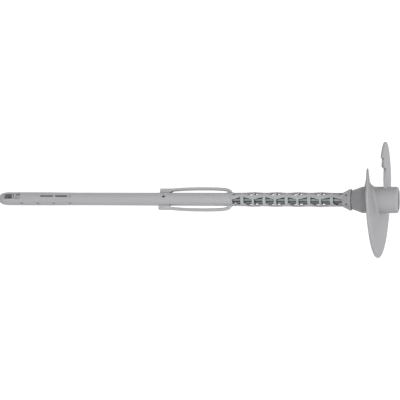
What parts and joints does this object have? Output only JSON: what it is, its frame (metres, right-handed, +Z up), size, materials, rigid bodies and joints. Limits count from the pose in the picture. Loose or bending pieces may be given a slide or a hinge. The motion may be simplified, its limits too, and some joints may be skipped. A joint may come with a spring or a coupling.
{
  "type": "insulation wall plug",
  "caption": "Long nylon wall plug for insulation boards, with a steel screw inside, bowed arms, a crush cage and a spiral plate with a hexagon drive socket.",
  "frame": {"origin": "middle of the space that the lying plug takes up, on the surface it lies on", "axes": "+X from the tip towards the head, as seen from above, +Z up; the plug's own axis rises 7.2 degrees towards the head, because the plate's rim holds the head up"},
  "size_m": [0.2434, 0.066, 0.065],
  "materials": {
    "sleeve_nylon": "moulded light grey nylon",
    "plate_nylon": "moulded light grey nylon",
    "screw_steel": "zinc plated steel"
  },
  "bodies": {
    "sleeve": {"plug_sleeve": "sleeve_nylon"},
    "driver": {"spiral_plate": "plate_nylon", "anchor_screw": "screw_steel"}
  },
  "joints": [
    {"name": "plate_spin", "type": "hinge", "parent": "sleeve", "child": "driver", "pos_m": [0.0947, 0, 0.03067], "axis": [0.9922, 0, 0.125], "continuous": true}
  ]
}
